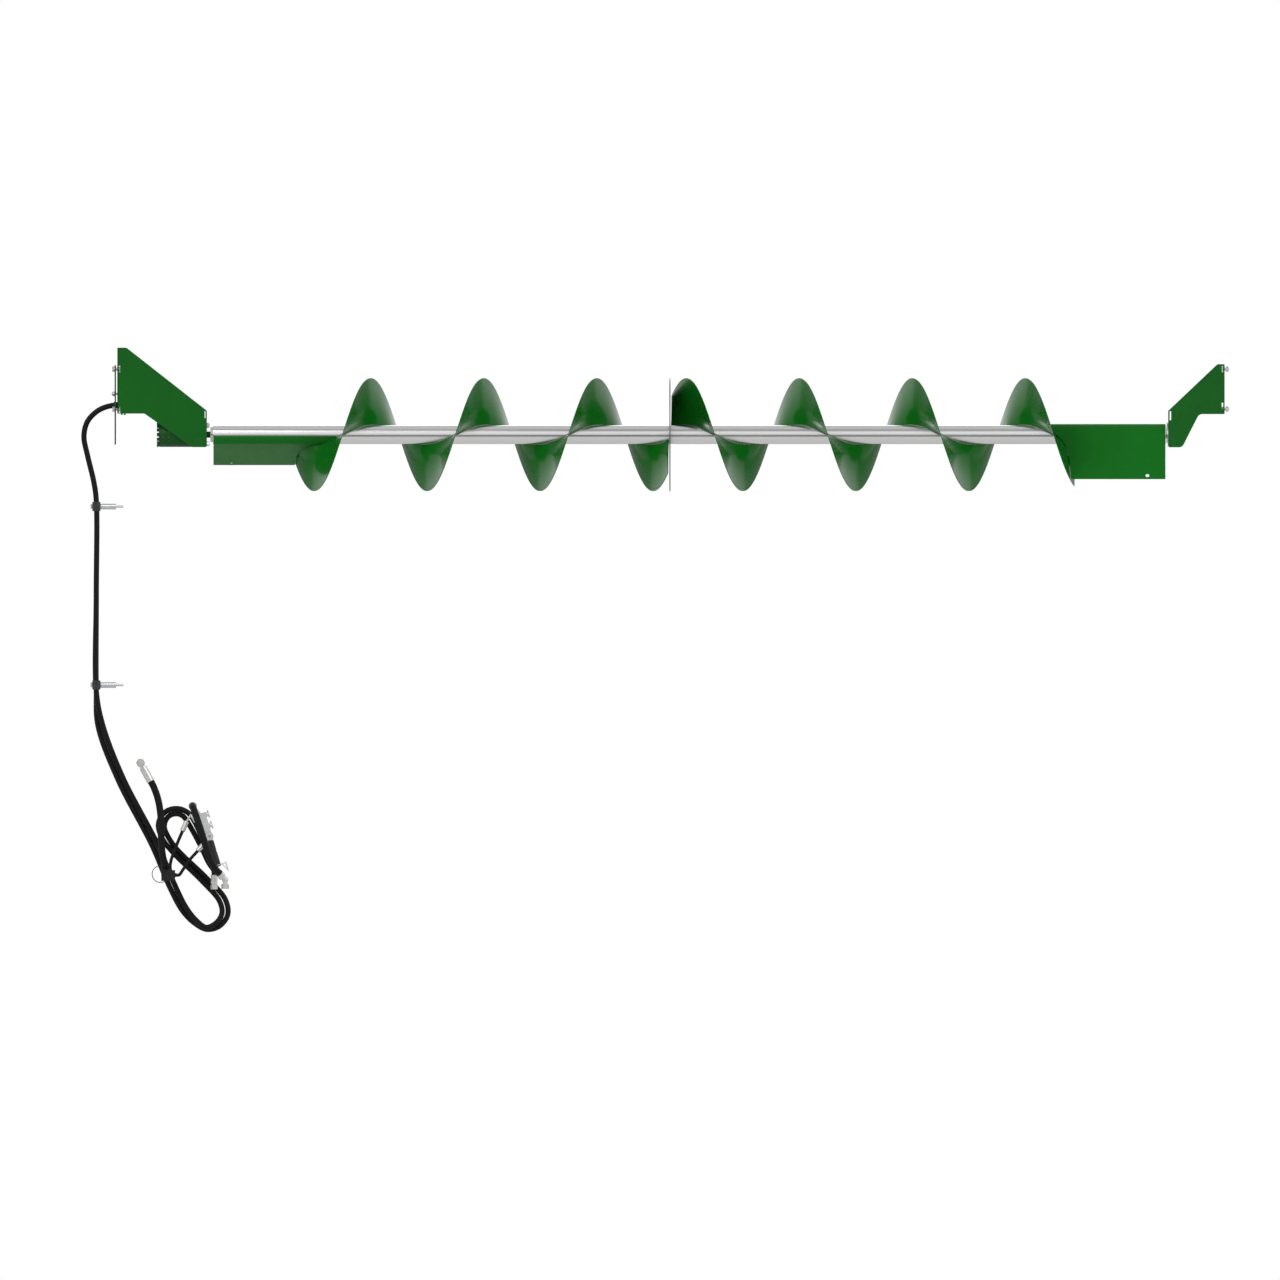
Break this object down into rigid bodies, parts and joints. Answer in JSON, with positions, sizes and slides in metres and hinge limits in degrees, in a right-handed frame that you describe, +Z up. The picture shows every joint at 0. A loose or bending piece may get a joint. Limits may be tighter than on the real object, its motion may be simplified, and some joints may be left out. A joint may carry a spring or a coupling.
{
  "type": "cross auger kit",
  "caption": "Hydraulic cross auger with opposite-hand flighting, end paddles, drive and idler brackets, and a clamped hose run with a valve bundle.",
  "frame": {"origin": "centre of the drive-end bolt pattern on the drive bracket's mounting face", "axes": "+X along the auger from the drive end to the idler end, +Z up, -Y towards the viewer"},
  "size_m": [4.645, 0.4572, 2.3649],
  "materials": {
    "bracket_green": "green enamel over steel sheet",
    "auger_green": "dark green enamel over rolled steel",
    "motor_green": "green enamel over cast iron",
    "ground_steel": "ground bearing steel",
    "tube_steel": "drawn steel tube",
    "zinc_plate": "zinc plated",
    "fitting_zinc": "zinc plated hydraulic fitting",
    "hub_grey": "light grey primer",
    "black_oxide": "black oxide",
    "hose_rubber": "wrapped rubber hose cover",
    "seal_rubber": "moulded rubber",
    "black_plastic": "glass-filled nylon",
    "dark_iron": "phosphated iron",
    "cage_brass": "pressed brass"
  },
  "bodies": {
    "frame": {"drive_bracket": "bracket_green", "drive_backing_plate": "bracket_green", "idler_bracket": "bracket_green", "bracket_bolts": "zinc_plate", "bracket_nuts": "zinc_plate", "hose_grommet": "seal_rubber", "motor_end_cover": "motor_green", "motor_cover_bolts": "zinc_plate", "geroler_ring": "ground_steel", "geroler_rollers": "ground_steel", "motor_spacer_plate": "ground_steel", "motor_housing": "motor_green", "motor_shaft_seal": "seal_rubber", "motor_mount_bolts": "zinc_plate", "motor_mount_nuts": "zinc_plate", "motor_port_fittings": "fitting_zinc", "flangettes": "zinc_plate", "bearing_outer_ring": "ground_steel", "bearing_seals": "seal_rubber", "flangette_bolts": "zinc_plate", "flangette_nuts": "zinc_plate", "pressure_hose": "hose_rubber", "return_hose": "hose_rubber", "hose_clamps": "black_plastic", "clamp_spacers": "zinc_plate", "clamp_studs": "zinc_plate", "hose_end_fittings": "fitting_zinc", "supply_hose": "hose_rubber", "drain_hose": "hose_rubber", "pilot_hoses": "hose_rubber", "junction_manifold": "dark_iron", "valve_block": "hub_grey", "coupler_boot": "hose_rubber", "boot_bail": "fitting_zinc", "hose_tie": "black_plastic"},
    "auger": {"auger_tube": "tube_steel", "left_flighting": "auger_green", "right_flighting": "auger_green", "centre_disc": "auger_green", "left_paddle": "auger_green", "right_paddle": "auger_green", "paddle_bolts": "zinc_plate", "paddle_nuts": "zinc_plate", "drive_hub": "hub_grey", "hub_set_screws": "black_oxide", "motor_output_shaft": "ground_steel", "motor_shaft_key": "ground_steel", "tube_end_plug": "hub_grey", "idler_stub_shaft": "ground_steel", "bearing_inner_ring": "ground_steel", "bearing_lock_collar": "black_oxide"},
    "drive_link": {"drive_link": "ground_steel"},
    "geroler_star": {"geroler_star": "ground_steel"},
    "bearing_cage": {"bearing_cage": "cage_brass", "bearing_balls": "ground_steel"},
    "upper_cock": {"upper_cock": "fitting_zinc"},
    "lower_cock": {"lower_cock": "fitting_zinc"},
    "front_swivel_nut": {"front_swivel_nut": "fitting_zinc"},
    "back_swivel_nut": {"back_swivel_nut": "fitting_zinc"},
    "supply_swivel_nut": {"supply_swivel_nut": "fitting_zinc"}
  },
  "joints": [
    {"name": "auger_spin", "type": "hinge", "parent": "frame", "child": "auger", "pos_m": [0, 0, -0.184], "axis": [1, 0, 0], "continuous": true},
    {"name": "link_orbit", "type": "hinge", "parent": "frame", "child": "drive_link", "pos_m": [0, 0, -0.184], "axis": [1, 0, 0], "continuous": true},
    {"name": "star_turn", "type": "hinge", "parent": "drive_link", "child": "geroler_star", "pos_m": [0.196, 0.0025, -0.184], "axis": [1, 0, 0], "continuous": true},
    {"name": "cage_spin", "type": "hinge", "parent": "frame", "child": "bearing_cage", "pos_m": [4.255, 0, -0.184], "axis": [1, 0, 0], "continuous": true},
    {"name": "upper_cock_turn", "type": "hinge", "parent": "frame", "child": "upper_cock", "pos_m": [0.34455, -0.08, -1.72601], "axis": [0.9563, 0, 0.2924], "range_deg": [0, 90]},
    {"name": "lower_cock_turn", "type": "hinge", "parent": "frame", "child": "lower_cock", "pos_m": [0.358, -0.08, -1.77], "axis": [0.9563, 0, 0.2924], "range_deg": [0, 90]},
    {"name": "front_nut_spin", "type": "hinge", "parent": "frame", "child": "front_swivel_nut", "pos_m": [0.392, -0.063, -2.015], "axis": [0, 0, -1], "continuous": true},
    {"name": "back_nut_spin", "type": "hinge", "parent": "frame", "child": "back_swivel_nut", "pos_m": [0.392, -0.034, -2.015], "axis": [0, 0, -1], "continuous": true},
    {"name": "supply_nut_spin", "type": "hinge", "parent": "frame", "child": "supply_swivel_nut", "pos_m": [0.43646, -0.12354, -2.012], "axis": [0, 0, -1], "continuous": true}
  ],
  "couplings": [
    {"joint": "link_orbit", "follows": "auger_spin", "ratio": -6},
    {"joint": "star_turn", "follows": "auger_spin", "ratio": 7},
    {"joint": "cage_spin", "follows": "auger_spin", "ratio": 0.39674}
  ]
}
